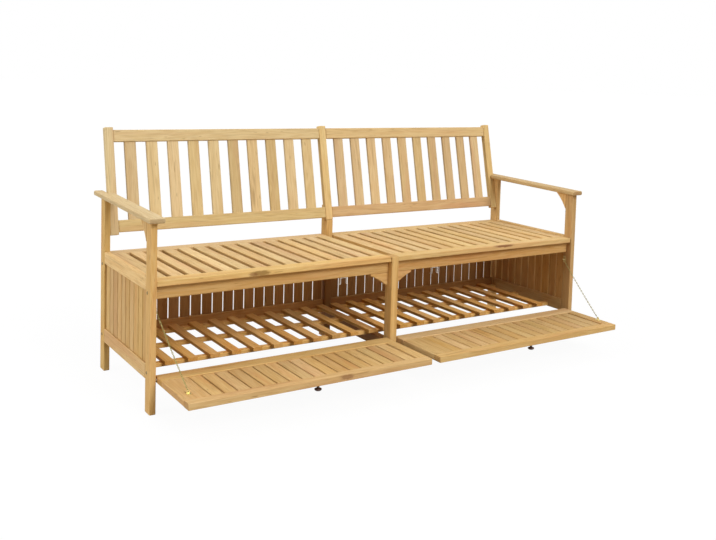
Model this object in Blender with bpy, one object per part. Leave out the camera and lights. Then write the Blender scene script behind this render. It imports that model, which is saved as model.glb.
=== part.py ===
"""Garden storage bench: a slatted seat and back over a storage box with two drop-down doors.

The origin is on the floor, in the middle of the centre front foot. X runs along the bench,
+Y points to its back and +Z up. All sizes are in metres. The doors are modelled open, level
with the floor of the box, as their stays hold them.
"""

import math

import bmesh
import bpy
from mathutils import Matrix, Vector

# Overall
LENGTH = 1.760
BOX_DEPTH = 0.518
SEAT_HEIGHT = 0.410

# Clearances
JOINT_GAP = 0.0003
PANEL_GAP = 0.0008
DOOR_GAP = 0.0025
DOOR_TOP_GAP = 0.0159

# Posts
POST_THICKNESS = 0.020
POST_DEPTH = 0.043
CENTRE_POST_WIDTH = 0.028
CENTRE_POST_TOP_DEPTH = 0.008

# Armrests
ARM_HEIGHT = 0.604
ARM_THICKNESS = 0.016
ARM_WIDTH = 0.051
ARM_OVERHANG = 0.012
ARM_FRONT_OVERHANG = 0.020
ARM_REAR_OVERHANG = 0.050
ARM_SLOPE = math.radians(1.3)
ARM_CORNER = 0.008
ARM_CORNER_STEPS = 4
ARM_BRACKET_LENGTH = 0.057
ARM_BRACKET_DROP = 0.063

# Seat panels
SEAT_THICKNESS = 0.018
SEAT_SETBACK = 0.004
SEAT_RAIL_WIDTH = 0.050
SEAT_LEFT_STILE = 0.049
SEAT_RIGHT_STILE = 0.043
SEAT_SLATS = 13
SEAT_SLAT_GAP = 0.017
SEAT_SLAT_THICKNESS = 0.014
SLAT_RECESS = 0.0006

# Rails and boards of the box
APRON_HEIGHT = 0.042
APRON_THICKNESS = 0.018
APRON_SETBACK = 0.024
APRON_BRACKET_LENGTH = 0.072
APRON_BRACKET_DROP = 0.046
APRON_BRACKET_NOSE = 0.006
RAIL_THICKNESS = 0.020
SIDE_RAIL_RISE = 0.006
UPPER_RAIL_HEIGHT = 0.041
LOWER_RAIL_HEIGHT = 0.048
LOWER_RAIL_CLEARANCE = 0.102
BOARD_WIDTH = 0.0375
BOARD_GAP = 0.005
BOARD_THICKNESS = 0.008
BOARD_TENON = 0.008

# Floor of the box
FLOOR_HEIGHT = 0.130
FLOOR_SLAT_WIDTH = 0.032
FLOOR_SLAT_PITCH = 0.0754
FLOOR_SLAT_THICKNESS = 0.012
FLOOR_END_GAP = 0.0592
FLOOR_BAR_THICKNESS = 0.012
FLOOR_SETBACK = 0.090
FLOOR_OVERHANG = 0.028
FLOOR_BAR_WIDTH = 0.025
FLOOR_MIDDLE_BAR = 0.305
CENTRE_RAIL_HEIGHT = 0.040

# Back
BACK_RAKE = math.radians(12.6)
BACK_START = 0.472
BACK_STILE_LENGTH = 0.3755
BACK_STILE_WIDTH = 0.030
BACK_STILE_THICKNESS = 0.022
BACK_RAIL_HEIGHT = 0.0415
BACK_RAIL_THICKNESS = 0.020
BACK_RAIL_SETBACK = 0.001
BACK_LOWER_RAIL_RISE = 0.0087
BACK_TOP_RAIL_DROP = 0.0097
BACK_SLATS = 10
BACK_SLAT_WIDTH = 0.0404
BACK_SLAT_THICKNESS = 0.011

# Doors, each turning on two pins near its rear edge
DOOR_THICKNESS = 0.021
DOOR_LEVEL = 0.0966
DOOR_HINGE_RAIL = 0.057
DOOR_FREE_RAIL = 0.034
DOOR_LEFT_STILE = 0.081
DOOR_RIGHT_STILE = 0.036
DOOR_BOARDS = 17
DOOR_BOARD_GAP = 0.0055
DOOR_BOARD_THICKNESS = 0.014
PIN_RADIUS = 0.004
PIN_SETBACK = 0.0083
PIN_INSET = 0.009
PIN_CLEARANCE = 0.0003
PIN_IN_POST = 0.012
PIN_IN_DOOR = 0.028

# Knobs
KNOB_RADIUS = 0.0115
KNOB_HEIGHT = 0.020
KNOB_NECK_RADIUS = 0.006
KNOB_FOOT_RADIUS = 0.009
KNOB_FOOT = 0.10
KNOB_NECK = (0.32, 0.45)
KNOB_HEAD = ((0.93, 0.58), (1.0, 0.70), (0.90, 0.84), (0.60, 0.95))

# Stays, their plates and the catches
PLATE_THICKNESS = 0.0015
PLATE_WIDTH = 0.014
PLATE_LENGTH = 0.026
PLATE_CORNER = 0.004
LUG_RADIUS = 0.005
LUG_THICKNESS = 0.002
LUG_HOLE = 0.002
STAY_RADIUS = 0.0012
STAY_SAG = 0.004
STAY_POINTS = 42
STAY_POST_SETBACK = 0.033
STAY_SEAT_DROP = 0.074
STAY_CLOSED_DROP = 0.0206
STAY_LEFT_INSET = 0.029
STAY_RIGHT_INSET = 0.0155
CATCH_OFFSET = 0.194
CATCH_WIDTH = 0.026
CATCH_DROP = 0.021
CATCH_DEPTH = 0.010
CATCH_SHEET = 0.0016
CATCH_LIP = 0.003

# Eased edges
POST_EDGE = 0.0025
RAIL_EDGE = 0.002
SLAT_EDGE = 0.0015
ARM_EDGE = 0.004
ROUND_PROFILE = 0.5
BRACKET_FLATNESS = 0.75

# Places that follow from the sizes above
X_OUT = LENGTH / 2
X_IN = X_OUT - POST_THICKNESS
X_MID = CENTRE_POST_WIDTH / 2
Y_FRONT = -POST_DEPTH / 2
Y_FRONT_POST = Y_FRONT + POST_DEPTH
Y_REAR = Y_FRONT + BOX_DEPTH
Y_REAR_POST = Y_REAR - POST_DEPTH
Y_WALL = (Y_REAR_POST + Y_REAR) / 2
Z_SEAT_UNDER = SEAT_HEIGHT - SEAT_THICKNESS
Z_CARRY = Z_SEAT_UNDER - JOINT_GAP
Z_LOWER_RAIL = LOWER_RAIL_CLEARANCE + LOWER_RAIL_HEIGHT
Y_HINGE = Y_FRONT + PIN_SETBACK
Z_HINGE = DOOR_LEVEL + DOOR_THICKNESS / 2
DOOR_HEIGHT = Z_SEAT_UNDER - DOOR_TOP_GAP - Z_HINGE + PIN_INSET
Z_STAY = Z_SEAT_UNDER - STAY_SEAT_DROP
STAY_REACH = Z_STAY - STAY_CLOSED_DROP - Z_HINGE
STAY_INSET = {"left": STAY_LEFT_INSET, "right": STAY_RIGHT_INSET}
SIDES = {"left": -1, "right": 1}


def make_material(name, colour, roughness, metallic=0.0):
    """A Principled BSDF material."""
    material = bpy.data.materials.new(name)
    material.use_nodes = True
    shader = material.node_tree.nodes["Principled BSDF"]
    shader.inputs["Base Color"].default_value = (*colour, 1.0)
    shader.inputs["Roughness"].default_value = roughness
    shader.inputs["Metallic"].default_value = metallic
    material.diffuse_color = (*colour, 1.0)
    return material


def add_object(name, data, material, parent=None, location=(0, 0, 0)):
    """Link an object for the given mesh or curve."""
    item = bpy.data.objects.new(name, data)
    data.materials.append(material)
    item.parent = parent
    item.location = location
    bpy.context.scene.collection.objects.link(item)
    return item


def add_empty(name, location, tilt=0.0):
    """A frame that carries the pieces of a door or of the raked back."""
    empty = bpy.data.objects.new(name, None)
    empty.location = location
    empty.rotation_euler.x = tilt
    empty.empty_display_size = 0.05
    bpy.context.scene.collection.objects.link(empty)
    return empty


def mesh_from(name, work):
    """Close a bmesh into a mesh with its faces turned outward."""
    bmesh.ops.recalc_face_normals(work, faces=work.faces)
    mesh = bpy.data.meshes.new(name)
    work.to_mesh(mesh)
    work.free()
    return mesh


def ease(item, width, segments=2):
    """Round every sharp edge of an object a little."""
    bevel = item.modifiers.new("eased edges", "BEVEL")
    bevel.width = width
    bevel.segments = segments
    bevel.limit_method = "ANGLE"
    bevel.angle_limit = math.radians(30)
    return item


def hide_as_tool(item):
    """Keep an object only as the operand of a Boolean."""
    item.hide_render = True
    item.display_type = "WIRE"


def combine(item, tool, operation):
    """Join or cut an object with a hidden one."""
    boolean = item.modifiers.new(operation.lower(), "BOOLEAN")
    boolean.operation = operation
    boolean.solver = "EXACT"
    boolean.object = tool
    hide_as_tool(tool)


def add_box(work, x, y, z):
    """Add a box between the given low and high places to a bmesh and return its edges."""
    centre = Vector(((x[0] + x[1]) / 2, (y[0] + y[1]) / 2, (z[0] + z[1]) / 2))
    size = (x[1] - x[0], y[1] - y[0], z[1] - z[0])
    matrix = Matrix.Translation(centre) @ Matrix.Diagonal((*size, 1.0))
    made = bmesh.ops.create_cube(work, size=1.0, matrix=matrix)
    return {edge for vertex in made["verts"] for edge in vertex.link_edges}


def side_span(sign, inner, outer):
    """The low and high X of something between two distances from the middle."""
    return tuple(sorted((sign * inner, sign * outer)))


def beam(name, x, y, z, material, parent=None, edge=RAIL_EDGE, segments=1):
    """A straight squared timber with eased edges, its origin in its own middle."""
    middle = [(low + high) / 2 for low, high in (x, y, z)]
    reach = [(high - low) / 2 for low, high in (x, y, z)]
    work = bmesh.new()
    add_box(work, *((-half, half) for half in reach))
    item = add_object(name, mesh_from(name, work), material, parent, middle)
    return ease(item, edge, segments)


def slat_group(name, boxes, axis, material, parent=None):
    """Slats whose long edges, along the given axis, are eased."""
    work = bmesh.new()
    for box in boxes:
        edges = add_box(work, *box)
        long_edges = [
            edge
            for edge in edges
            if abs((edge.verts[0].co - edge.verts[1].co).normalized()[axis]) > 0.9
        ]
        bmesh.ops.bevel(
            work,
            geom=long_edges,
            offset=SLAT_EDGE,
            segments=1,
            profile=ROUND_PROFILE,
            affect="EDGES",
        )
    return add_object(f"{name}_slats", mesh_from(name, work), material, parent)


def even_spans(low, high, count, gap):
    """Split a stretch into equal members with a gap before, between and after them."""
    width = (high - low - gap * (count + 1)) / count
    return [
        (
            low + gap + index * (width + gap),
            low + gap + index * (width + gap) + width,
        )
        for index in range(count)
    ]


def stile_widths(side, left, right):
    """The widths of a panel's inner and outer stile. Both halves have the same panel, unmirrored."""
    return (right, left) if side == "left" else (left, right)


def board_count(length):
    """How many wall boards of the usual width fill a stretch."""
    return max(1, round((length - BOARD_GAP) / (BOARD_WIDTH + BOARD_GAP)))


def prism(name, outline, span, axis, material, parent=None, location=(0, 0, 0)):
    """Extrude a closed outline between two places along X (axis 0) or Y (axis 1)."""
    work = bmesh.new()
    low, high = span
    corners = []
    for first, second in outline:
        place = (low, first, second) if axis == 0 else (first, low, second)
        corners.append(work.verts.new(place))
    face = work.faces.new(corners)
    made = bmesh.ops.extrude_face_region(work, geom=[face])
    moved = [item for item in made["geom"] if isinstance(item, bmesh.types.BMVert)]
    step = (high - low, 0, 0) if axis == 0 else (0, high - low, 0)
    bmesh.ops.translate(work, verts=moved, vec=step)
    return add_object(name, mesh_from(name, work), material, parent, location)


def cylinder(name, radius, start, length, axis, material, parent=None, sides=16):
    """A round bar from a start point along X (axis 0), Y (axis 1) or Z (axis 2)."""
    work = bmesh.new()
    turn = {0: Matrix.Rotation(math.pi / 2, 4, "Y"), 1: Matrix.Rotation(-math.pi / 2, 4, "X")}
    matrix = turn.get(axis, Matrix.Identity(4)) @ Matrix.Translation((0, 0, length / 2))
    bmesh.ops.create_cone(
        work,
        cap_ends=True,
        segments=sides,
        radius1=radius,
        radius2=radius,
        depth=length,
        matrix=matrix,
    )
    mesh = mesh_from(name, work)
    mesh.shade_smooth()
    mesh.set_sharp_from_angle(angle=math.radians(40))
    return add_object(name, mesh, material, parent, start)


def concave_corner(length, drop, nose, steps=8):
    """The outline of a corner bracket: two legs and a hollow curve between their noses.

    The corner is at (0, 0), one leg runs along +first and the other along -second. The
    curve lies between the straight line and a quarter of an ellipse, nearer to the line.
    """
    outline = [(0.0, -drop), (0.0, 0.0), (length, 0.0), (length, -nose)]
    for step in range(1, steps):
        share = step / steps
        angle = share * math.pi / 2
        straight = Vector((1 - share, share))
        hollow = Vector((1 - math.sin(angle), 1 - math.cos(angle)))
        along, down = hollow.lerp(straight, BRACKET_FLATNESS)
        outline.append((nose + (length - nose) * along, -nose - (drop - nose) * down))
    outline.append((nose, -drop))
    return outline


def arm_underside(y):
    """Height of the armrest's underside above a place along Y."""
    front = Y_FRONT - ARM_FRONT_OVERHANG
    return ARM_HEIGHT - ARM_THICKNESS / math.cos(ARM_SLOPE) + (y - front) * math.tan(ARM_SLOPE)


def back_front(z):
    """Place along Y of the front face of the raked back at a height."""
    return Y_REAR_POST + (z - BACK_START) * math.tan(BACK_RAKE)


def pin_hole(name, start, length, axis_sign, wood, parent=None):
    """The tool that drills a pin's hole, from a start point along +X or -X."""
    place = Vector(start)
    if axis_sign < 0:
        place.x -= length
    radius = PIN_RADIUS + PIN_CLEARANCE
    return cylinder(name, radius, place, length, 0, wood, parent)


def build_end_posts(wood):
    """The four end posts, their tops cut to the slope of the armrests."""
    for side, sign in SIDES.items():
        span = side_span(sign, X_IN, X_OUT)
        for place, low, high in (
            ("front", Y_FRONT, Y_FRONT_POST),
            ("rear", Y_REAR_POST, Y_REAR),
        ):
            outline = [
                (low, 0.0),
                (high, 0.0),
                (high, arm_underside(high) - JOINT_GAP),
                (low, arm_underside(low) - JOINT_GAP),
            ]
            post = prism(f"post_{place}_{side}", outline, span, 0, wood)
            ease(post, POST_EDGE)
            if place == "front":
                start = (sign * (X_IN - PIN_IN_POST), Y_HINGE, Z_HINGE)
                depth = 2 * PIN_IN_POST + PIN_CLEARANCE
                combine(post, pin_hole(f"drill_post_{side}", start, depth, sign, wood), "DIFFERENCE")


def build_centre_posts(wood):
    """The centre posts: one flush with the seat, one bevelled to carry the back's stile."""
    span = (-X_MID, X_MID)
    front = beam(
        "post_front_centre",
        span,
        (Y_FRONT, Y_FRONT_POST),
        (0.0, SEAT_HEIGHT),
        wood,
        edge=POST_EDGE,
        segments=2,
    )
    start = (-2 * X_MID, Y_HINGE, Z_HINGE)
    combine(front, pin_hole("drill_post_centre", start, 4 * X_MID, 1, wood), "DIFFERENCE")
    up = Vector((math.sin(BACK_RAKE), math.cos(BACK_RAKE)))
    through = Vector((math.cos(BACK_RAKE), -math.sin(BACK_RAKE)))
    heel = Vector((Y_REAR_POST, BACK_START)) + through * (BACK_STILE_THICKNESS + JOINT_GAP)
    heel -= up * JOINT_GAP
    top_y = Y_REAR - CENTRE_POST_TOP_DEPTH
    top_z = heel.y + (top_y - heel.x) / math.tan(BACK_RAKE)
    outline = [
        (Y_REAR_POST, 0.0),
        (Y_REAR, 0.0),
        (Y_REAR, top_z),
        (top_y, top_z),
        tuple(heel),
        (Y_REAR_POST, BACK_START - JOINT_GAP / math.cos(BACK_RAKE)),
    ]
    ease(prism("post_rear_centre", outline, span, 0, wood), SLAT_EDGE, 1)


def build_armrests(wood):
    """Sloping armrests, notched at the rear to pass the back's stiles, and their brackets."""
    front = Y_FRONT - ARM_FRONT_OVERHANG
    length = BOX_DEPTH + ARM_FRONT_OVERHANG + ARM_REAR_OVERHANG
    notch = back_front(arm_underside(Y_REAR_POST)) - front - PANEL_GAP
    outer = X_OUT + ARM_OVERHANG
    inner = outer - ARM_WIDTH
    for side, sign in SIDES.items():
        outline = [
            (inner, 0.0),
            (outer, 0.0),
            (outer, length),
            (X_IN + JOINT_GAP, length),
            (X_IN + JOINT_GAP, notch),
            (inner, notch),
        ]
        work = bmesh.new()
        corners = [work.verts.new((sign * x, y, 0.0)) for x, y in outline]
        face = work.faces.new(corners)
        made = bmesh.ops.extrude_face_region(work, geom=[face])
        moved = [item for item in made["geom"] if isinstance(item, bmesh.types.BMVert)]
        bmesh.ops.translate(work, verts=moved, vec=(0, 0, ARM_THICKNESS))
        front_corners = [
            edge
            for edge in work.edges
            if abs((edge.verts[0].co - edge.verts[1].co).z) > ARM_THICKNESS / 2
            and max(abs(vertex.co.y) for vertex in edge.verts) < ARM_CORNER
        ]
        bmesh.ops.bevel(
            work,
            geom=front_corners,
            offset=ARM_CORNER,
            segments=ARM_CORNER_STEPS,
            profile=ROUND_PROFILE,
            affect="EDGES",
        )
        arm = add_object(f"armrest_{side}", mesh_from(f"armrest_{side}", work), wood)
        arm.location = (0, front, ARM_HEIGHT - ARM_THICKNESS / math.cos(ARM_SLOPE))
        arm.rotation_euler.x = ARM_SLOPE
        ease(arm, ARM_EDGE)
        build_arm_bracket(side, sign, wood)


def build_arm_bracket(side, sign, wood):
    """The hollow-curved bracket behind a front post, under its armrest."""
    corner_y = Y_FRONT_POST + JOINT_GAP
    corner_z = arm_underside(corner_y) - JOINT_GAP
    slope = math.tan(ARM_SLOPE)
    outline = [
        (y, z + y * slope)
        for y, z in concave_corner(ARM_BRACKET_LENGTH, ARM_BRACKET_DROP, JOINT_GAP)
    ]
    bracket = prism(
        f"arm_bracket_{side}",
        outline,
        side_span(sign, X_IN, X_OUT),
        0,
        wood,
        location=(0, corner_y, corner_z),
    )
    ease(bracket, SLAT_EDGE, 1)


def build_seat(wood):
    """Two seat panels: a front rail, and slats and stiles that are tenoned in the rear rail."""
    front = Y_FRONT + SEAT_SETBACK
    front_in = front + SEAT_RAIL_WIDTH
    rear_in = Y_REAR - SEAT_RAIL_WIDTH
    level = (Z_SEAT_UNDER, SEAT_HEIGHT)
    slat_top = SEAT_HEIGHT - SLAT_RECESS
    slat_level = (slat_top - SEAT_SLAT_THICKNESS, slat_top)
    inner = X_MID + PANEL_GAP
    outer = X_IN - PANEL_GAP
    reach = (front_in + JOINT_GAP, rear_in + BOARD_TENON)
    for side, sign in SIDES.items():
        span = side_span(sign, inner, outer)
        beam(f"seat_front_rail_{side}", span, (front, front_in), level, wood, segments=2)
        rail = beam(f"seat_slats_{side}", span, (rear_in, Y_REAR), level, wood)
        inner_stile, outer_stile = stile_widths(side, SEAT_LEFT_STILE, SEAT_RIGHT_STILE)
        first = inner + inner_stile
        last = outer - outer_stile
        slats = [
            (side_span(sign, *slat), reach, slat_level)
            for slat in even_spans(first, last, SEAT_SLATS, SEAT_SLAT_GAP)
        ]
        stile_level = (Z_SEAT_UNDER + SLAT_RECESS, slat_top)
        for low, high in ((inner, first), (last, outer)):
            slats.append((side_span(sign, low, high), reach, stile_level))
        combine(rail, slat_group(f"seat_{side}", slats, 1, wood), "UNION")


def build_aprons(wood):
    """The rails under the seat's front edge, with a curved bracket beside the centre post."""
    front = Y_FRONT + APRON_SETBACK
    depth = (front, front + APRON_THICKNESS)
    under = Z_CARRY - APRON_HEIGHT
    for side, sign in SIDES.items():
        span = side_span(sign, X_MID + JOINT_GAP, X_IN - JOINT_GAP)
        beam(f"apron_{side}", span, depth, (under, Z_CARRY), wood)
        outline = [
            (sign * x, z)
            for x, z in concave_corner(
                APRON_BRACKET_LENGTH, APRON_BRACKET_DROP, APRON_BRACKET_NOSE
            )
        ]
        bracket = prism(
            f"apron_bracket_{side}",
            outline,
            depth,
            1,
            wood,
            location=(sign * (X_MID + JOINT_GAP), 0, under - JOINT_GAP),
        )
        ease(bracket, SLAT_EDGE, 1)


def wall_boards(low, high):
    """Even spans of wall boards between two posts."""
    return even_spans(low, high, board_count(high - low), BOARD_GAP)


def build_end_walls(wood):
    """Each end of the box: an upper rail over boards that stand in a lower rail."""
    run = (Y_FRONT_POST + JOINT_GAP, Y_REAR_POST - JOINT_GAP)
    upper_top = SEAT_HEIGHT + SIDE_RAIL_RISE
    upper = (upper_top - UPPER_RAIL_HEIGHT, upper_top)
    lower = (LOWER_RAIL_CLEARANCE, Z_LOWER_RAIL)
    board_level = (Z_LOWER_RAIL - BOARD_TENON, upper[0] - JOINT_GAP)
    middle = (X_IN + X_OUT) / 2
    for side, sign in SIDES.items():
        span = side_span(sign, X_IN, X_OUT)
        beam(f"end_upper_rail_{side}", span, run, upper, wood)
        rail = beam(f"end_boards_{side}", span, run, lower, wood)
        thickness = side_span(sign, middle - BOARD_THICKNESS / 2, middle + BOARD_THICKNESS / 2)
        boards = [(thickness, board, board_level) for board in wall_boards(*run)]
        combine(rail, slat_group(f"end_{side}", boards, 2, wood), "UNION")


def build_rear_walls(wood):
    """The back of the box, in two halves that meet at the centre post."""
    depth = (Y_WALL - RAIL_THICKNESS / 2, Y_WALL + RAIL_THICKNESS / 2)
    upper = (Z_CARRY - UPPER_RAIL_HEIGHT, Z_CARRY)
    lower = (LOWER_RAIL_CLEARANCE, Z_LOWER_RAIL)
    board_level = (Z_LOWER_RAIL - BOARD_TENON, upper[0] - JOINT_GAP)
    thickness = (Y_WALL - BOARD_THICKNESS / 2, Y_WALL + BOARD_THICKNESS / 2)
    run = (X_MID + JOINT_GAP, X_IN - JOINT_GAP)
    for side, sign in SIDES.items():
        span = side_span(sign, *run)
        beam(f"rear_upper_rail_{side}", span, depth, upper, wood)
        rail = beam(f"rear_boards_{side}", span, depth, lower, wood)
        boards = [
            (side_span(sign, *board), thickness, board_level) for board in wall_boards(*run)
        ]
        combine(rail, slat_group(f"rear_{side}", boards, 2, wood), "UNION")


def build_floor(wood):
    """The floor of the box: slats nailed on three bars, and the rails that carry their ends."""
    slat_top = FLOOR_HEIGHT
    slat_under = FLOOR_HEIGHT - FLOOR_SLAT_THICKNESS
    bar_level = (slat_under - FLOOR_BAR_THICKNESS, slat_under + SLAT_RECESS)
    front = Y_FRONT + FLOOR_SETBACK
    rear = Y_WALL - RAIL_THICKNESS / 2 - JOINT_GAP
    middle = Y_FRONT + FLOOR_MIDDLE_BAR
    bars = (
        (middle, middle + FLOOR_BAR_WIDTH),
        (rear - FLOOR_BAR_WIDTH, rear),
    )
    notch = Y_REAR_POST - JOINT_GAP
    first = X_MID + PANEL_GAP
    run = X_IN - FLOOR_END_GAP - FLOOR_SLAT_WIDTH - first
    steps = round(run / FLOOR_SLAT_PITCH)
    for side, sign in SIDES.items():
        span = side_span(sign, JOINT_GAP, X_IN - JOINT_GAP)
        short_span = side_span(sign, X_MID + JOINT_GAP, X_IN - JOINT_GAP)
        grid = beam(
            f"floor_{side}",
            span,
            (front + FLOOR_OVERHANG, front + FLOOR_OVERHANG + FLOOR_BAR_WIDTH),
            bar_level,
            wood,
            edge=SLAT_EDGE,
        )
        cross = [
            (short_span if high > notch else span, (low, high), bar_level) for low, high in bars
        ]
        combine(grid, slat_group(f"floor_bars_{side}", cross, 0, wood), "UNION")
        slats = []
        for index in range(steps + 1):
            low = first + index * run / steps
            slat = side_span(sign, low, low + FLOOR_SLAT_WIDTH)
            slats.append((slat, (front, rear), (slat_under, slat_top)))
        combine(grid, slat_group(f"floor_{side}", slats, 1, wood), "UNION")
    carried = bar_level[0] - JOINT_GAP
    run = (Y_FRONT_POST + JOINT_GAP, Y_REAR_POST - JOINT_GAP)
    span = (-X_MID, X_MID)
    beam("centre_floor_rail", span, run, (carried - CENTRE_RAIL_HEIGHT, carried), wood)
    beam("centre_seat_rail", span, run, (Z_CARRY - CENTRE_RAIL_HEIGHT, Z_CARRY), wood)


def build_back(wood):
    """The raked back: three stiles, and two framed rows of slats between them."""
    frame = add_empty("back_frame", (0, Y_REAR_POST, BACK_START), -BACK_RAKE)
    stile_run = (0.0, BACK_STILE_LENGTH)
    stile_depth = (0.0, BACK_STILE_THICKNESS)
    outer = X_IN - JOINT_GAP
    inner = outer - BACK_STILE_WIDTH
    half = BACK_STILE_WIDTH / 2
    beam("back_stile_centre", (-half, half), stile_depth, stile_run, wood, frame, POST_EDGE, 2)
    lower = (BACK_LOWER_RAIL_RISE, BACK_LOWER_RAIL_RISE + BACK_RAIL_HEIGHT)
    top_edge = BACK_STILE_LENGTH - BACK_TOP_RAIL_DROP
    top = (top_edge - BACK_RAIL_HEIGHT, top_edge)
    depth = (BACK_RAIL_SETBACK, BACK_RAIL_SETBACK + BACK_RAIL_THICKNESS)
    middle = sum(depth) / 2
    slat_depth = (middle - BACK_SLAT_THICKNESS / 2, middle + BACK_SLAT_THICKNESS / 2)
    low = half + JOINT_GAP
    high = inner - JOINT_GAP
    gap = (high - low - BACK_SLATS * BACK_SLAT_WIDTH) / (BACK_SLATS + 1)
    for side, sign in SIDES.items():
        stile = side_span(sign, inner, outer)
        beam(f"back_stile_{side}", stile, stile_depth, stile_run, wood, frame, POST_EDGE, 2)
        span = side_span(sign, low, high)
        beam(f"back_top_rail_{side}", span, depth, top, wood, frame)
        rail = beam(f"back_slats_{side}", span, depth, lower, wood, frame)
        slats = [
            (side_span(sign, *slat), slat_depth, (lower[1] - BOARD_TENON, top[0] - JOINT_GAP))
            for slat in even_spans(low, high, BACK_SLATS, gap)
        ]
        combine(rail, slat_group(f"back_{side}", slats, 2, wood, frame), "UNION")


def build_doors(wood, metal, dark):
    """Two framed doors that turn on pins; their frames' empties lie on the hinge axis."""
    inner = X_MID + DOOR_GAP
    outer = X_IN - DOOR_GAP
    half = DOOR_THICKNESS / 2
    level = (-half, half)
    board_level = (-DOOR_BOARD_THICKNESS / 2, DOOR_BOARD_THICKNESS / 2)
    rear = PIN_INSET
    free = PIN_INSET - DOOR_HEIGHT
    rear_in = rear - DOOR_HINGE_RAIL
    free_in = free + DOOR_FREE_RAIL
    fit = (free_in + JOINT_GAP, rear_in - JOINT_GAP)
    for side, sign in SIDES.items():
        hinge = add_empty(f"door_hinge_{side}", (0, Y_HINGE, Z_HINGE))
        span = side_span(sign, inner, outer)
        beam(f"door_free_rail_{side}", span, (free, free_in), level, wood, hinge, segments=2)
        inner_stile, outer_stile = stile_widths(side, DOOR_LEFT_STILE, DOOR_RIGHT_STILE)
        first = inner + inner_stile
        last = outer - outer_stile
        for place, low, high in (("inner", inner, first), ("outer", last, outer)):
            stile = side_span(sign, low, high)
            beam(f"door_{place}_stile_{side}", stile, fit, level, wood, hinge)
        rail = beam(f"door_boards_{side}", span, (rear_in, rear), level, wood, hinge)
        reach = (free_in + JOINT_GAP, rear_in + BOARD_TENON)
        boards = [
            (side_span(sign, *board), reach, board_level)
            for board in even_spans(first, last, DOOR_BOARDS, DOOR_BOARD_GAP)
        ]
        combine(rail, slat_group(f"door_{side}", boards, 1, wood, hinge), "UNION")
        depth = PIN_IN_DOOR + JOINT_GAP
        for place, end, towards in (("outer", outer, -1), ("inner", inner, 1)):
            start = (sign * (end - towards * depth), 0, 0)
            tool = pin_hole(f"drill_{place}_{side}", start, 2 * depth, sign * towards, wood, hinge)
            combine(rail, tool, "DIFFERENCE")
        build_outer_pin(side, sign, outer, hinge, metal)
        build_knob(side, sign * (inner + outer) / 2, (free + free_in) / 2, -half, hinge, dark)
        build_door_plate(side, sign, outer, half, hinge, metal)
    reach = inner + PIN_IN_DOOR
    cylinder("pivot_pin_centre", PIN_RADIUS, (-reach, Y_HINGE, Z_HINGE), 2 * reach, 0, metal)


def build_outer_pin(side, sign, outer, hinge, metal):
    """The pin at a door's outer end, which turns in the end post."""
    low = outer - PIN_IN_DOOR
    high = X_IN + PIN_IN_POST - PIN_CLEARANCE
    start = (min(sign * low, sign * high), 0, 0)
    cylinder(f"pivot_pin_{side}", PIN_RADIUS, start, high - low, 0, metal, hinge)


def build_knob(side, x, y, face, hinge, dark):
    """A turned knob on the door's outer face: foot, waist and domed head, spun about Z."""
    profile = [(0.0, 0.0), (KNOB_FOOT_RADIUS, 0.0), (KNOB_FOOT_RADIUS, KNOB_FOOT * KNOB_HEIGHT)]
    profile += [(KNOB_NECK_RADIUS, share * KNOB_HEIGHT) for share in KNOB_NECK]
    profile += [(width * KNOB_RADIUS, share * KNOB_HEIGHT) for width, share in KNOB_HEAD]
    profile.append((0.0, KNOB_HEIGHT))
    work = bmesh.new()
    points = [work.verts.new((radius, 0.0, -drop)) for radius, drop in profile]
    edges = [work.edges.new(pair) for pair in zip(points, points[1:])]
    bmesh.ops.spin(
        work,
        geom=points + edges,
        axis=(0, 0, 1),
        cent=(0, 0, 0),
        steps=16,
        angle=2 * math.pi,
        use_merge=True,
    )
    bmesh.ops.remove_doubles(work, verts=work.verts, dist=0.00001)
    mesh = mesh_from(f"knob_{side}", work)
    mesh.shade_smooth()
    mesh.set_sharp_from_angle(angle=math.radians(50))
    add_object(f"knob_{side}", mesh, dark, hinge, (x, y, face - JOINT_GAP))


def rounded_rectangle(width, length, radius, steps=3):
    """Corner points of a rectangle with rounded corners, centred on (0, 0)."""
    outline = []
    corners = ((1, 1, 0), (-1, 1, 1), (-1, -1, 2), (1, -1, 3))
    for x_sign, y_sign, quarter in corners:
        centre = (x_sign * (width / 2 - radius), y_sign * (length / 2 - radius))
        for step in range(steps + 1):
            angle = (quarter + step / steps) * math.pi / 2
            outline.append(
                (centre[0] + radius * math.cos(angle), centre[1] + radius * math.sin(angle))
            )
    return outline


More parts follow.
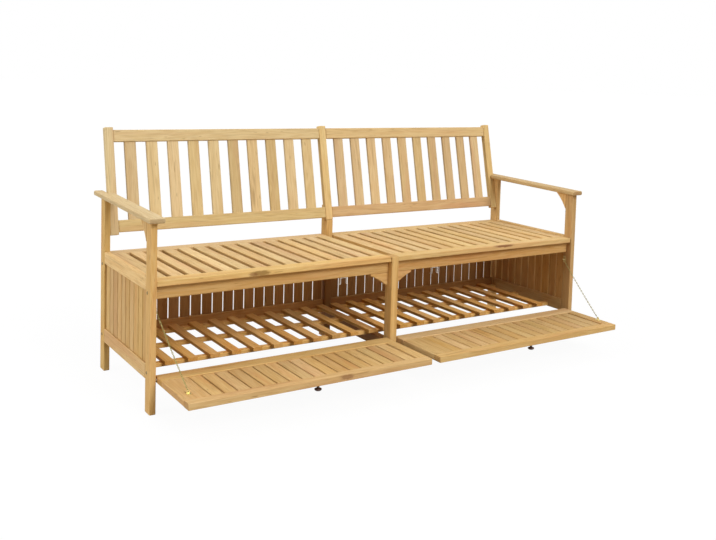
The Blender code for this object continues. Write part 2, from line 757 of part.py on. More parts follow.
def eye_plate(name, metal, parent=None):
    """A screwed plate with an eye standing on it: plate in XY, eye in the XZ plane above it.

    Its origin is in the middle of the plate's back.
    """
    work = bmesh.new()
    outline = rounded_rectangle(PLATE_WIDTH, PLATE_LENGTH, PLATE_CORNER)
    face = work.faces.new([work.verts.new((x, y, 0.0)) for x, y in outline])
    made = bmesh.ops.extrude_face_region(work, geom=[face])
    moved = [item for item in made["geom"] if isinstance(item, bmesh.types.BMVert)]
    bmesh.ops.translate(work, verts=moved, vec=(0, 0, PLATE_THICKNESS))
    plate = add_object(name, mesh_from(name, work), metal, parent)
    centre_z = PLATE_THICKNESS + LUG_RADIUS
    lug = cylinder(
        f"{name}_lug",
        LUG_RADIUS,
        (0, -LUG_THICKNESS / 2, centre_z),
        LUG_THICKNESS,
        1,
        metal,
        plate,
    )
    foot_work = bmesh.new()
    add_box(
        foot_work,
        (-LUG_RADIUS, LUG_RADIUS),
        (-LUG_THICKNESS / 2, LUG_THICKNESS / 2),
        (PLATE_THICKNESS / 2, centre_z),
    )
    foot = add_object(f"{name}_foot", mesh_from(name, foot_work), metal, plate)
    hole = cylinder(
        f"{name}_eye",
        LUG_HOLE,
        (0, -LUG_THICKNESS, centre_z),
        2 * LUG_THICKNESS,
        1,
        metal,
        plate,
        sides=12,
    )
    combine(plate, foot, "UNION")
    combine(plate, lug, "UNION")
    combine(plate, hole, "DIFFERENCE")
    return plate


def eye_height():
    """Distance of an eye's centre from the face that its plate is screwed to."""
    return JOINT_GAP + PLATE_THICKNESS + LUG_RADIUS


def build_door_plate(side, sign, outer, face, hinge, metal):
    """The stay's plate on the door's inner face, which looks up while the door is open."""
    plate = eye_plate(f"stay_door_plate_{side}", metal, hinge)
    plate.location = (sign * (outer - STAY_INSET[side]), -STAY_REACH, face + JOINT_GAP)


def build_stays(metal):
    """The stays: a plate on each front post, and a fine stay from its eye to the door's."""
    door_y = Y_HINGE - STAY_REACH
    door_z = Z_HINGE + DOOR_THICKNESS / 2 + eye_height()
    post_y = Y_FRONT + STAY_POST_SETBACK
    for side, sign in SIDES.items():
        door_x = X_IN - DOOR_GAP - STAY_INSET[side]
        plate = eye_plate(f"stay_post_plate_{side}", metal)
        plate.location = (sign * (X_IN - JOINT_GAP), post_y, Z_STAY)
        plate.rotation_euler = (math.pi / 2, 0, -sign * math.pi / 2)
        start = Vector((sign * (X_IN - eye_height()), post_y, Z_STAY))
        end = Vector((sign * door_x, door_y, door_z))
        build_stay(f"stay_{side}", start, end, metal)


def build_stay(name, start, end, metal):
    """A stay just clear of the eyes at both ends, hanging in a shallow parabola."""
    run = (end - start).normalized()
    clear = LUG_THICKNESS + STAY_RADIUS + JOINT_GAP
    first = start + run * clear
    last = end - run * clear
    curve = bpy.data.curves.new(name, "CURVE")
    curve.dimensions = "3D"
    curve.bevel_depth = STAY_RADIUS
    curve.bevel_resolution = 2
    curve.use_fill_caps = True
    spline = curve.splines.new("POLY")
    spline.points.add(STAY_POINTS - 1)
    for index, point in enumerate(spline.points):
        share = index / (STAY_POINTS - 1)
        place = first.lerp(last, share)
        place.z -= 4 * STAY_SAG * share * (1 - share)
        point.co = (*place, 1.0)
    add_object(name, curve, metal)


def build_catches(metal):
    """A spring clip under each apron that holds the closed door: a bent strip with two prongs."""
    half = CATCH_WIDTH / 2
    sheet = CATCH_SHEET
    outline = [
        (-half, 0.0),
        (-half, -CATCH_DROP),
        (-half - CATCH_LIP, -CATCH_DROP - CATCH_LIP),
        (-half - CATCH_LIP + sheet, -CATCH_DROP - CATCH_LIP - sheet / 2),
        (-half + sheet, -CATCH_DROP + sheet / 4),
        (-half + sheet, -sheet),
        (half - sheet, -sheet),
        (half - sheet, -CATCH_DROP + sheet / 4),
        (half + CATCH_LIP - sheet, -CATCH_DROP - CATCH_LIP - sheet / 2),
        (half + CATCH_LIP, -CATCH_DROP - CATCH_LIP),
        (half, -CATCH_DROP),
        (half, 0.0),
    ]
    top = Z_CARRY - APRON_HEIGHT - JOINT_GAP
    middle = Y_FRONT + APRON_SETBACK + APRON_THICKNESS / 2
    depth = (-CATCH_DEPTH / 2, CATCH_DEPTH / 2)
    for side, sign in SIDES.items():
        place = (sign * CATCH_OFFSET, middle, top)
        prism(f"door_catch_{side}", outline, depth, 1, metal, location=place)


def main():
    """Clear the scene and build the bench."""
    for item in list(bpy.data.objects):
        bpy.data.objects.remove(item, do_unlink=True)
    acacia = make_material("acacia", (0.72, 0.50, 0.26), 0.55)
    steel = make_material("zinc_steel", (0.62, 0.62, 0.60), 0.35, 1.0)
    brass = make_material("brass", (0.70, 0.58, 0.28), 0.35, 1.0)
    dark = make_material("dark_wood", (0.09, 0.045, 0.03), 0.45)
    build_end_posts(acacia)
    build_centre_posts(acacia)
    build_armrests(acacia)
    build_seat(acacia)
    build_aprons(acacia)
    build_end_walls(acacia)
    build_rear_walls(acacia)
    build_floor(acacia)
    build_back(acacia)
    build_doors(acacia, steel, dark)
    build_stays(brass)
    build_catches(steel)


main()
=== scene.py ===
"""The looks of a garden storage bench: oiled boards, turned knobs, link chains and bolts.

X runs along the bench, Y to its back and Z up, in metres, as in the loaded frame. The doors
are open, as they stand at rest.
"""

import math

import bpy
import numpy as np
from bpy.props import FloatProperty, FloatVectorProperty, IntProperty, PointerProperty
from mathutils import Matrix, Vector


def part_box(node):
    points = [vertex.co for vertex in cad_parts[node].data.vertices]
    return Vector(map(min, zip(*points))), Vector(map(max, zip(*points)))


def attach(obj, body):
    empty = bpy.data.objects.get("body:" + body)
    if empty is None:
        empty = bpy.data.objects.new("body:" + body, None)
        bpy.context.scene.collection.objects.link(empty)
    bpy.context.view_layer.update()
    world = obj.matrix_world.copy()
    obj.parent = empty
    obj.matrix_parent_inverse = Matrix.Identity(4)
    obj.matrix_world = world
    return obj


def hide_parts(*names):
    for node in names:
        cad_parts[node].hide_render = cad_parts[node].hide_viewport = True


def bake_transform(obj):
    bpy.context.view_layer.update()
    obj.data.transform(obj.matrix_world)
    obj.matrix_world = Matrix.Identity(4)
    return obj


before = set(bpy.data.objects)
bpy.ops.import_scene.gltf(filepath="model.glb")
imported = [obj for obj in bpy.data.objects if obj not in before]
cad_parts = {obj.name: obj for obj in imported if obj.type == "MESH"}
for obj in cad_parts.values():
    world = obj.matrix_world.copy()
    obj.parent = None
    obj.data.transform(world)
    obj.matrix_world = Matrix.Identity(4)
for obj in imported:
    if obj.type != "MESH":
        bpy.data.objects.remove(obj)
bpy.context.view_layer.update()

bl_info = {
    "name": "Garden storage bench looks",
    "version": (1, 0, 0),
    "blender": (4, 5, 0),
    "location": "3D View > Sidebar > Garden bench",
    "description": "Finishes the loaded bench with wood, chains, knobs, bolts and a plain stage",
    "category": "Object",
}

SIDES = {"left": -1, "right": 1}

# Places of the bench's members, as they stand in the loaded frame
RAKE = math.radians(12.6)
X_OUT = 0.880
LOWER_RAIL_TOP = 0.150
FLOOR_SLAT_UNDER = 0.1183
SEAT_REAR_RAIL = 0.4465
DOOR_HINGE_RAIL = -0.0612
BACK_RAIL_TOP = 0.6098
EYE_AT_POST = {"left": (-0.8532, 0.0115, 0.318), "right": (0.8532, 0.0115, 0.318)}
EYE_AT_DOOR = {"left": (-0.8285, -0.2035, 0.1244), "right": (0.8420, -0.2035, 0.1244)}

# How each piece's wood departs from the settings: hue, and saturation and value as factors.
# The factors are partly each piece's own tone and partly painted light and shade, which
# lighten or darken whole pieces by how much light falls on them. A piece's name with "rail"
# after it tones that piece's rail alone, and on a wall only the side of the rail that looks
# into the box, where its factor lightens the painted shade.
TONES_AND_PAINTED_LIGHT = {
    "post_front_left": (0.000, 1.06, 1.10),
    "post_front_right": (-0.003, 1.05, 0.82),
    "post_front_centre": (-0.003, 1.02, 0.95),
    "post_rear_left": (0.003, 1.05, 1.09),
    "end_upper_rail_left": (0.003, 0.94, 1.20),
    "armrest left": (0.013, 0.81, 0.96),
    "armrest right": (0.003, 0.95, 0.74),
    "seat left": (0.004, 0.92, 1.02),
    "seat right": (0.005, 0.95, 1.01),
    "seat front left": (0.003, 1.00, 1.05),
    "seat front right": (0.003, 0.97, 1.00),
    "apron left": (0.002, 1.00, 0.94),
    "apron right": (-0.007, 1.10, 0.84),
    "floor left": (-0.006, 1.11, 1.23),
    "floor right": (-0.006, 1.11, 1.23),
    "back stile left": (0.012, 0.84, 1.00),
    "back stile centre": (0.008, 0.93, 1.13),
    "back stile right": (0.005, 0.98, 0.93),
    "back top rail left": (0.015, 0.84, 0.96),
    "back top rail right": (0.002, 0.91, 1.03),
    "back slats left": (0.009, 0.87, 0.96),
    "back slats right": (0.005, 0.88, 0.96),
    "back slats left rail": (0.007, 1.01, 0.99),
    "back slats right rail": (-0.009, 1.11, 0.84),
    "rear left": (0.000, 1.02, 1.08),
    "rear left rail": (0.002, 1.00, 1.55),
    "rear right rail": (0.002, 1.00, 1.30),
    "end left": (0.000, 1.00, 0.95),
    "door left": (0.000, 1.00, 0.91),
    "door right": (0.000, 1.00, 0.86),
    "door free rail left": (-0.002, 1.01, 0.91),
    "door free rail right": (-0.001, 1.00, 0.92),
    "door inner stile left": (0.000, 1.00, 0.89),
    "door outer stile left": (0.000, 1.00, 0.89),
    "door inner stile right": (0.000, 1.00, 0.87),
    "door outer stile right": (0.000, 1.00, 0.87),
}

# Painted shade inside the box: tints that make the faces looking into it darker and browner,
# and the heights between which that shade ends under the seat
WALL_PAINTED_SHADE = (0.49, 0.37, 0.29)
END_PAINTED_SHADE = (0.88, 0.82, 0.76)
SEAT_PAINTED_SHADE = (0.55, 0.45, 0.38)
SEAT_SHADE = (0.375, 0.395)

# Tints of the slats' sides, which lie in the shade of their gaps, and how far out they reach
SEAT_GAPS = (0.82, 0.74, 0.55)
FLOOR_GAPS = (0.66, 0.60, 0.47)
GAP_REACH = 0.850

# The turn that brings each grain direction onto Z
GRAIN = {
    "x": (0.0, -math.pi / 2, 0.0),
    "y": (math.pi / 2, 0.0, 0.0),
    "z": (0.0, 0.0, 0.0),
    "raked": (RAKE, 0.0, 0.0),
}
DIRECTION = {
    "x": (1.0, 0.0, 0.0),
    "y": (0.0, 1.0, 0.0),
    "z": (0.0, 0.0, 1.0),
    "raked": (0.0, math.sin(RAKE), math.cos(RAKE)),
}

# Where boards repeat: direction, place of the first board's near edge, and pitch. The seat
# panels and the doors are alike on both sides, and the other boards mirror across the middle.
SEAT_SLATS = {"left": ("x", -0.8017, 0.05657), "right": ("x", 0.0723, 0.05657)}
DOOR_BOARDS = {"left": ("x", -0.7738, 0.04227), "right": ("x", 0.1002, 0.04227)}
REAR_BOARDS = {"left": ("x", -0.0168, -0.04202), "right": ("x", 0.0168, 0.04202)}
FLOOR_SLATS = {"left": ("x", 0.0052, -0.0754), "right": ("x", -0.0052, 0.0754)}
BACK_SLATS = {"left": ("x", -0.0339, -0.07768), "right": ("x", 0.0339, 0.07768)}
END_BOARDS = ("y", 0.0243, 0.04264)

# Members that run another way than the rest of their piece, as (grain, direction, place,
# side), where side is 1 above the place and -1 below it
SEAT_RAIL = ("x", "y", SEAT_REAR_RAIL, 1)
END_RAIL = ("y", "z", LOWER_RAIL_TOP, -1)
REAR_RAIL = ("x", "z", LOWER_RAIL_TOP, -1)
FLOOR_BARS = ("x", "z", FLOOR_SLAT_UNDER, -1)
BACK_RAIL = ("x", "raked", BACK_RAIL_TOP, -1)
DOOR_RAIL = ("x", "y", DOOR_HINGE_RAIL, 1)

# Faces that look into the box, as (direction, tint of painted shade)
SEAT_INNER_SHADE = ((0.0, 0.0, -1.0), SEAT_PAINTED_SHADE)
REAR_INNER_SHADE = ((0.0, -1.0, 0.0), WALL_PAINTED_SHADE)
MIDDLE_INNER_SHADE = (None, WALL_PAINTED_SHADE)
END_INNER_SHADE = {side: ((-sign, -1.0, 0.0), END_PAINTED_SHADE) for side, sign in SIDES.items()}

POSTS = [f"post_{end}_{side}" for end in ("front", "rear") for side in SIDES]
POSTS += ["post_front_centre", "post_rear_centre"]
UPPER_RAILS = {
    "end_upper_rail_left": "y",
    "end_upper_rail_right": "y",
    "rear_upper_rail_left": "x",
    "rear_upper_rail_right": "x",
    "centre_seat_rail": "y",
    "centre_floor_rail": "y",
}

# Board numbers, each of which draws a figure of its own: the first number of a kind of piece,
# and the step to the next piece of that kind. A rail's number lies a little past its piece's.
NUMBERS = {
    "post": (11, 1),
    "upper rail": (31, 1),
    "armrest": (51, 1),
    "arm bracket": (55, 1),
    "seat": (71, 40),
    "seat front": (151, 1),
    "apron": (155, 1),
    "apron bracket": (159, 1),
    "end": (171, 30),
    "rear": (241, 30),
    "floor": (311, 30),
    "back stile": (381, 1),
    "back top rail": (391, 1),
    "back slats": (401, 30),
    "door": (471, 40),
    "door free rail": (551, 1),
    "door inner stile": (561, 2),
    "door outer stile": (562, 2),
}
RAIL_NUMBER = 0.5

# Patches of dark heartwood: centre, reach, strength and colour
OLIVE = (0.24, 0.125, 0.032)
RUST = (0.19, 0.060, 0.022)
FRONT_PATCHES = {
    "left": (
        ((-0.520, -0.0175, 0.4005), (0.050, 0.010, 0.014), 0.75, OLIVE),
        ((-0.545, -0.0175, 0.3985), (0.024, 0.010, 0.009), 0.50, RUST),
    ),
    "right": (((0.505, -0.0175, 0.4065), (0.070, 0.010, 0.008), 0.80, RUST),),
}
FREE_RAIL_PATCHES = {
    "left": (((-0.345, -0.2822, 0.109), (0.036, 0.014, 0.012), 0.55, RUST),),
    "right": (),
}

# Layers of the wood's figure. A stretch is a scale along the grain, a noise is (scale, detail,
# distortion), a band is where a ramp begins and ends, and a share is how much of it shows. A
# layer is (noise, band, share). The figure's and the pores' noises take their scales from the
# settings.
BOARDS_APART = (9.0, 7.0, 8.0)
FIGURE_STRETCH = 0.07
PORE_STRETCH = 0.025
FLECK_STRETCH = 0.16
FIGURE_DETAIL = 2.0
FIGURE_DISTORTION = 0.35
RINGS = 7.0
RING_BAND = (0.05, 0.5)
RING_SHARE = 0.70
PORE_DETAIL = 3.0
PORE_BAND = (0.50, 0.76)
PORE_SHARE = 0.46
WARM_SHARE = 0.60
DRIFT = ((6.0, 1.0, 0.0), (0.30, 0.75), 1.0)
BLUSH = ((26.0, 2.0, 0.4), (0.50, 0.72), 0.45)
STREAKS = ((60.0, 2.0, 0.6), (0.58, 0.80), 0.54)
FLECKS = ((150.0, 1.0, 0.0), (0.70, 0.80), 0.55)
HUE_SPREAD = 0.006
STRENGTH_SPREAD = 0.08
PORE_ROUGHNESS = 0.14
PORE_HEIGHT = -0.8
RING_HEIGHT = 0.3
PATCH_NOISE = (1.6, 3.0, 0.8)
PATCH_RAGGED = 1.1
PATCH_BAND = (0.95, 1.45)
CUT_BAND = (0.55, 0.9)
CUT_SHARE = 0.55
CUT_TINT = (0.62, 0.50, 0.40)
FACING_BAND = (0.3, 0.8)
SIDE_BAND = (0.6, 0.95)
WOOD_SPECULAR = 0.15

# Metal and stain. A bump is (strength, distance), and the stain's roughness (least, spread).
TARNISH = ((220.0, 2.0, 0.0), (0.35, 0.75), 1.0)
TARNISH_SHARE = 0.7
TARNISH_TINT = (0.55, 0.52, 0.46)
TARNISH_ROUGHNESS = 0.18
GRIT_NOISE = (2400.0, 1.0, 0.0)
BRASS_ROUGHNESS = 0.42
ZINC_ROUGHNESS = 0.50
CHAIN_ROUGHNESS = 0.50
BOLT_ROUGHNESS = 0.55
STAIN_STRETCH = 9.0
STAIN_NOISE = (260.0, 3.0, 0.0)
STAIN_BAND = (0.45, 0.75)
STAIN_WEAR = (2.6, 2.4, 2.2)
STAIN_ROUGHNESS = (0.28, 0.25)
WOOD_BUMP = (0.25, 0.0004)
PLATING_BUMP = (0.15, 0.0001)
STAIN_BUMP = (0.2, 0.0002)

# Shapes of the fittings. A profile's rows are radius and height. The link's overlap and width
# are in radii of its wire, and the bolt's profile in radii of its head. A bolt's corners are 1
# where the row is the hexagon of its socket.
CREASE = math.radians(45)
NEARLY_UPRIGHT = 0.9
CHAIN_SAG = 0.004
LINK_RINGS = 12
LINK_SIDES = 6
LINK_OVERLAP = 1.9
LINK_WIDTH = 2.6
KNOB_STEPS = 4
KNOB_TIP = 0.0008
KNOB_PROFILE = (
    (0.0058, 0.0000),
    (0.0058, 0.0010),
    (0.0048, 0.0024),
    (0.0040, 0.0056),
    (0.0044, 0.0084),
    (0.0068, 0.0106),
    (0.0106, 0.0122),
    (0.0115, 0.0142),
    (0.0106, 0.0166),
    (0.0076, 0.0187),
    (0.0036, 0.0198),
)
BOLT_SIDES = 24
BOLT_Y = (0.006, 0.4755)
BOLT_Z = (0.372, 0.126)
BOLT_PROFILE = (
    (1.00, 0.00),
    (1.00, 0.10),
    (0.93, 0.22),
    (0.80, 0.30),
    (0.50, 0.33),
    (0.40, 0.33),
    (0.40, 0.10),
)
BOLT_CORNERS = (0, 0, 0, 0, 0, 1, 1)

# Stage
WHITE = (1.0, 1.0, 1.0, 1.0)
MOTTLE = ((3.0, 2.0, 0.0), (0.3, 0.7), 1.0)
MOTTLE_SHADE = 0.96
FLOOR_ROUGHNESS = 0.9
SKY_BAND = (0.15, 0.80)
MAIN_LAMP_AIM = (-0.12, 0.80, -0.60)
SIDE_LAMP_AIM = (0.92, -0.10, -0.32)
CAMERA_PLACE = (-1.7694, -2.6428, 1.0491)
CAMERA_YAW = 0.6039
CAMERA_PITCH = 0.0750
CAMERA_ROLL = -0.0318
CAMERA_LENS = 45.52
CAMERA_SHIFT = (-0.0705, -0.1762)


def colour_setting(name, description, default):
    """A colour that the user can set."""
    return FloatVectorProperty(
        name=name, description=description, subtype="COLOR", min=0.0, max=1.0, default=default
    )


def share_setting(name, description, default):
    """A share from 0 to 1."""
    return FloatProperty(
        name=name, description=description, subtype="FACTOR", min=0.0, max=1.0, default=default
    )


def light_setting(name, description, default):
    """A strength of light, where 1 shows a colour as written."""
    return FloatProperty(name=name, description=description, min=0.0, max=2.0, default=default)


def length_setting(name, description, default, low, high):
    """A length in metres."""
    return FloatProperty(
        name=name, description=description, min=low, max=high, default=default, unit="LENGTH"
    )


class BenchWood(bpy.types.PropertyGroup):
    """Colours and figure of the wood."""

    pale: colour_setting(
        "Pale wood", "Colour of the palest growth in the boards", (0.750, 0.515, 0.235)
    )
    warm: colour_setting(
        "Warm wood", "Colour of the deeper growth in the boards", (0.630, 0.372, 0.128)
    )
    streak: colour_setting(
        "Streaks", "Colour of the pores and the thin dark lines", (0.30, 0.140, 0.035)
    )
    blush: colour_setting(
        "Red streaks", "Colour of the soft reddish streaks along the grain", (0.62, 0.30, 0.12)
    )
    variation: share_setting(
        "Board variation", "How much one board differs from the next in lightness", 0.15
    )
    figure_width: length_setting(
        "Figure width", "Distance from one broad figure line to the next", 0.026, 0.002, 0.2
    )
    pore_width: length_setting(
        "Pore width", "Distance from one pore line to the next", 0.0016, 0.0002, 0.02
    )
    gloss: share_setting("Roughness", "Roughness of the oiled surface", 0.60)


class BenchFittings(bpy.types.PropertyGroup):
    """Colours and sizes of the fittings."""

    brass: colour_setting("Brass", "Colour of the brass-plated plates", (0.84, 0.72, 0.36))
    zinc: colour_setting("Zinc", "Colour of the zinc-plated pins and catches", (0.86, 0.84, 0.80))
    bolt: colour_setting("Bolts", "Colour of the dulled bolt heads", (0.34, 0.26, 0.13))
    chain: colour_setting("Chains", "Colour of the tarnished chains", (0.40, 0.35, 0.14))
    knob: colour_setting("Knobs", "Colour of the dark turned knobs", (0.045, 0.017, 0.010))
    chain_wire: length_setting(
        "Chain wire", "Diameter of the wire of a chain link", 0.0014, 0.0004, 0.003
    )
    chain_pitch: length_setting(
        "Chain pitch", "Distance from one chain link to the next", 0.0066, 0.003, 0.03
    )
    bolt_radius: length_setting("Bolt head radius", "Radius of a bolt's head", 0.0052, 0.002, 0.02)
    knob_sides: IntProperty(
        name="Knob sides", description="Points around a turned knob", min=12, max=96, default=48
    )


class BenchStage(bpy.types.PropertyGroup):
    """The floor and the light."""

    floor: colour_setting("Floor", "Colour of the floor", (1.0, 1.0, 1.0))
    floor_bounce: colour_setting(
        "Floor bounce", "Colour of the light that the floor throws back", (0.46, 0.42, 0.35)
    )
    floor_reach: length_setting(
        "Floor reach", "Distance from the bench to the edge of the floor", 60.0, 2.0, 200.0
    )
    zenith: light_setting(
        "Light from above", "Strength of the even light straight above the bench", 0.90
    )
    horizon: light_setting(
        "Light from the sides", "Strength of the even light at the level of the floor", 0.03
    )
    key: light_setting("Main lamp", "Light on a surface that faces the main lamp", 0.59)
    fill: light_setting("Side lamp", "Light on a surface that faces the side lamp", 0.415)
    key_spread: FloatProperty(
        name="Lamp spread",
        description="How wide each lamp looks from the bench",
        subtype="ANGLE",
        min=0.0,
        max=math.pi,
        default=math.radians(26),
    )
    paleness: share_setting(
        "Backdrop share", "How much of the floor's seen colour is the backdrop's plain white", 0.95
    )


class Wiring:
    """Adds nodes to a tree. A socket given as an input is linked, anything else is set."""

    def __init__(self, tree):
        self.tree = tree

    def feed(self, node, inputs):
        """Link or set some inputs of a node."""
        for key, value in inputs.items():
            if isinstance(value, bpy.types.NodeSocket):
                self.tree.links.new(value, node.inputs[key])
            else:
                node.inputs[key].default_value = value

    def add(self, kind, inputs, **settings):
        """The outputs of a new node of a kind, with its settings and inputs."""
        node = self.tree.nodes.new(kind)
        for key, value in settings.items():
            setattr(node, key, value)
        self.feed(node, inputs)
        return node.outputs

    def maths(self, operation, first, second=0.0, third=0.0):
        """The result of a Math node."""
        inputs = {0: first, 1: second, 2: third}
        return self.add("ShaderNodeMath", inputs, operation=operation)[0]

    def vector(self, operation, first, second=(0.0, 0.0, 0.0), output="Vector"):
        """A result of a Vector Math node."""
        inputs = {0: first, 1: second}
        return self.add("ShaderNodeVectorMath", inputs, operation=operation)[output]

    def along(self, place, direction):
        """How far a place lies along a direction."""
        return self.vector("DOT_PRODUCT", place, direction, "Value")

    def blend(self, share, first, second, mode="MIX"):
        """Two colours mixed by a share."""
        inputs = {0: share, 6: first, 7: second}
        return self.add("ShaderNodeMix", inputs, data_type="RGBA", blend_type=mode)[2]

    def tint(self, share, colour, tint):
        """A colour that is multiplied by a tint where a share is 1."""
        return self.blend(share, colour, self.blend(1.0, colour, (*tint, 1.0), "MULTIPLY"))

    def either(self, share, first, second):
        """The first vector where share is 0 and the second where it is 1."""
        inputs = {0: share, 4: first, 5: second}
        return self.add("ShaderNodeMix", inputs, data_type="VECTOR")[1]

    def ramp(self, value, low, high):
        """A smooth rise from 0 at low to 1 at high."""
        inputs = {"Value": value, "From Min": low, "From Max": high}
        return self.add("ShaderNodeMapRange", inputs, interpolation_type="SMOOTHSTEP")["Result"]

    def noise(self, place, scale, detail, distortion):
        """Soft noise from 0 to 1."""
        inputs = {"Vector": place, "Scale": scale, "Detail": detail, "Distortion": distortion}
        return self.add("ShaderNodeTexNoise", inputs)[0]

    def layer(self, place, noise, band, share):
        """A share of a ramp over noise."""
        return self.maths("MULTIPLY", self.ramp(self.noise(place, *noise), *band), share)

    def turned(self, place, turn):
        """A place after a turn."""
        return self.add("ShaderNodeMapping", {"Vector": place, "Rotation": turn})[0]

    def stretched(self, place, scale):
        """A place with its Z scaled."""
        return self.add("ShaderNodeMapping", {"Vector": place, "Scale": (1.0, 1.0, scale)})[0]

    def changed(self, colour, hue, saturation, value):
        """A colour with another hue, saturation and value."""
        inputs = {"Hue": hue, "Saturation": saturation, "Value": value, "Color": colour}
        return self.add("ShaderNodeHueSaturation", inputs)[0]

    def group(self, tree, inputs):
        """The outputs of a node group."""
        return self.add("ShaderNodeGroup", inputs, node_tree=tree)

    def bump(self, height, strength, distance):
        """A normal from a height that is given in shares of a distance."""
        inputs = {"Strength": strength, "Distance": distance, "Height": height}
        return self.add("ShaderNodeBump", inputs)[0]


def shader_group(name, inputs, outputs):
    """Make a function that wires a node group build the group once and find it from then on.

    The function gets the wiring and the group's inputs, and returns a socket for each output.
    """

    def decorate(wire):
        def find_or_build():
            if name in bpy.data.node_groups:
                return bpy.data.node_groups[name]
            tree = bpy.data.node_groups.new(name, "ShaderNodeTree")
            for in_out, sockets in (("INPUT", inputs), ("OUTPUT", outputs)):
                for label, kind in sockets.items():
                    socket_type = f"NodeSocket{kind}"
                    tree.interface.new_socket(name=label, in_out=in_out, socket_type=socket_type)
            wiring = Wiring(tree)
            given = wiring.add("NodeGroupInput", {})
            wiring.feed(tree.nodes.new("NodeGroupOutput"), wire(wiring, given))
            return tree

        return find_or_build

    return decorate


@shader_group(
    "Timber figure",
    {
        "Place": "Vector",
        "Board": "Float",
        "Figure width": "Float",
        "Pore width": "Float",
        "Variation": "Float",
        "Roughness": "Float",
        "Pale": "Color",
        "Warm": "Color",
        "Streak": "Color",
        "Blush": "Color",
    },
    {"Colour": "Color", "Roughness": "Float", "Height": "Float"},
)
def timber_group(wiring, given):
    """Boards' figure: contours of stretched noise as growth lines, pore streaks and a tint.

    The place it reads has Z along the grain. Each board number moves the pattern to another
    part of the tree and shifts its hue, strength and lightness.
    """
    inputs = {"W": given["Board"]}
    chance = wiring.add("ShaderNodeTexWhiteNoise", inputs, noise_dimensions="1D")["Color"]
    shares = wiring.add("ShaderNodeSeparateColor", {0: chance})
    away = wiring.vector("MULTIPLY", chance, BOARDS_APART)
    place = wiring.vector("ADD", given["Place"], away)
    broad = wiring.stretched(place, FIGURE_STRETCH)
    fine = wiring.stretched(place, PORE_STRETCH)
    scale = wiring.maths("DIVIDE", 1.0, given["Figure width"])
    figure = wiring.noise(broad, scale, FIGURE_DETAIL, FIGURE_DISTORTION)
    rings = wiring.maths("PINGPONG", wiring.maths("MULTIPLY", figure, RINGS), 0.5)
    rings = wiring.ramp(rings, *RING_BAND)
    scale = wiring.maths("DIVIDE", 1.0, given["Pore width"])
    pores = wiring.ramp(wiring.noise(fine, scale, PORE_DETAIL, 0.0), *PORE_BAND)
    depth = wiring.maths("MULTIPLY_ADD", rings, RING_SHARE, wiring.layer(broad, *DRIFT))
    depth = wiring.maths("MULTIPLY", depth, WARM_SHARE)
    colour = wiring.blend(depth, given["Pale"], given["Warm"])
    colour = wiring.blend(wiring.layer(broad, *BLUSH), colour, given["Blush"])
    dark = wiring.maths("MULTIPLY", pores, PORE_SHARE)
    dark = wiring.maths("MAXIMUM", dark, wiring.layer(broad, *STREAKS))
    flecks = wiring.layer(wiring.stretched(place, FLECK_STRETCH), *FLECKS)
    dark = wiring.maths("MAXIMUM", dark, flecks)
    colour = wiring.blend(dark, colour, given["Streak"])
    spreads = (HUE_SPREAD, STRENGTH_SPREAD, given["Variation"])
    hue, strength, lightness = (
        wiring.maths("MULTIPLY_ADD", wiring.maths("SUBTRACT", share, 0.5), spread, middle)
        for share, spread, middle in zip(shares, spreads, (0.5, 1.0, 1.0))
    )
    relief = wiring.maths("MULTIPLY", rings, RING_HEIGHT)
    return {
        "Colour": wiring.changed(colour, hue, strength, lightness),
        "Roughness": wiring.maths("MULTIPLY_ADD", pores, PORE_ROUGHNESS, given["Roughness"]),
        "Height": wiring.maths("MULTIPLY_ADD", pores, PORE_HEIGHT, relief),
    }


@shader_group(
    "Heartwood patch",
    {"Place": "Vector", "Centre": "Vector", "Reach": "Vector"},
    {"Mask": "Float"},
)
def patch_group(wiring, given):
    """A ragged dark patch: 1 within an ellipsoid round a centre, fading out through noise."""
    apart = wiring.vector("SUBTRACT", given["Place"], given["Centre"])
    apart = wiring.vector("DIVIDE", apart, given["Reach"])
    length = wiring.vector("LENGTH", apart, output="Value")
    ragged = wiring.noise(apart, *PATCH_NOISE)
    length = wiring.maths("MULTIPLY_ADD", ragged, PATCH_RAGGED, length)
    return {"Mask": wiring.maths("SUBTRACT", 1.0, wiring.ramp(length, *PATCH_BAND))}


@shader_group("End grain", {"Normal": "Vector", "Direction": "Vector"}, {"Mask": "Float"})
def end_grain_group(wiring, given):
    """1 where a face is cut across the grain, from its normal and the grain's direction."""
    facing = wiring.maths("ABSOLUTE", wiring.along(given["Normal"], given["Direction"]))
    return {"Mask": wiring.ramp(facing, *CUT_BAND)}


@shader_group(
    "Plating",
    {"Place": "Vector", "Colour": "Color", "Roughness": "Float"},
    {"Colour": "Color", "Roughness": "Float", "Height": "Float"},
)
def plating_group(wiring, given):
    """Plated metal: soft clouds of tarnish and a fine roughness from two noises."""
    clouds = wiring.layer(given["Place"], *TARNISH)
    share = wiring.maths("MULTIPLY", clouds, TARNISH_SHARE)
    return {
        "Colour": wiring.tint(share, given["Colour"], TARNISH_TINT),
        "Roughness": wiring.maths("MULTIPLY_ADD", clouds, TARNISH_ROUGHNESS, given["Roughness"]),
        "Height": wiring.noise(given["Place"], *GRIT_NOISE),
    }


def new_material(name):
    """A material with its wiring, its Principled BSDF and its texture coordinates."""
    material = bpy.data.materials.new(name)
    material.use_nodes = True
    wiring = Wiring(material.node_tree)
    shader = material.node_tree.nodes["Principled BSDF"]
    return material, wiring, shader, wiring.add("ShaderNodeTexCoord", {})


def toned(wiring, name, colour):
    """A colour as TONES_AND_PAINTED_LIGHT changes it for a name."""
    hue, saturation, value = TONES_AND_PAINTED_LIGHT.get(name, (0.0, 1.0, 1.0))
    return wiring.changed(colour, 0.5 + hue, saturation, value)


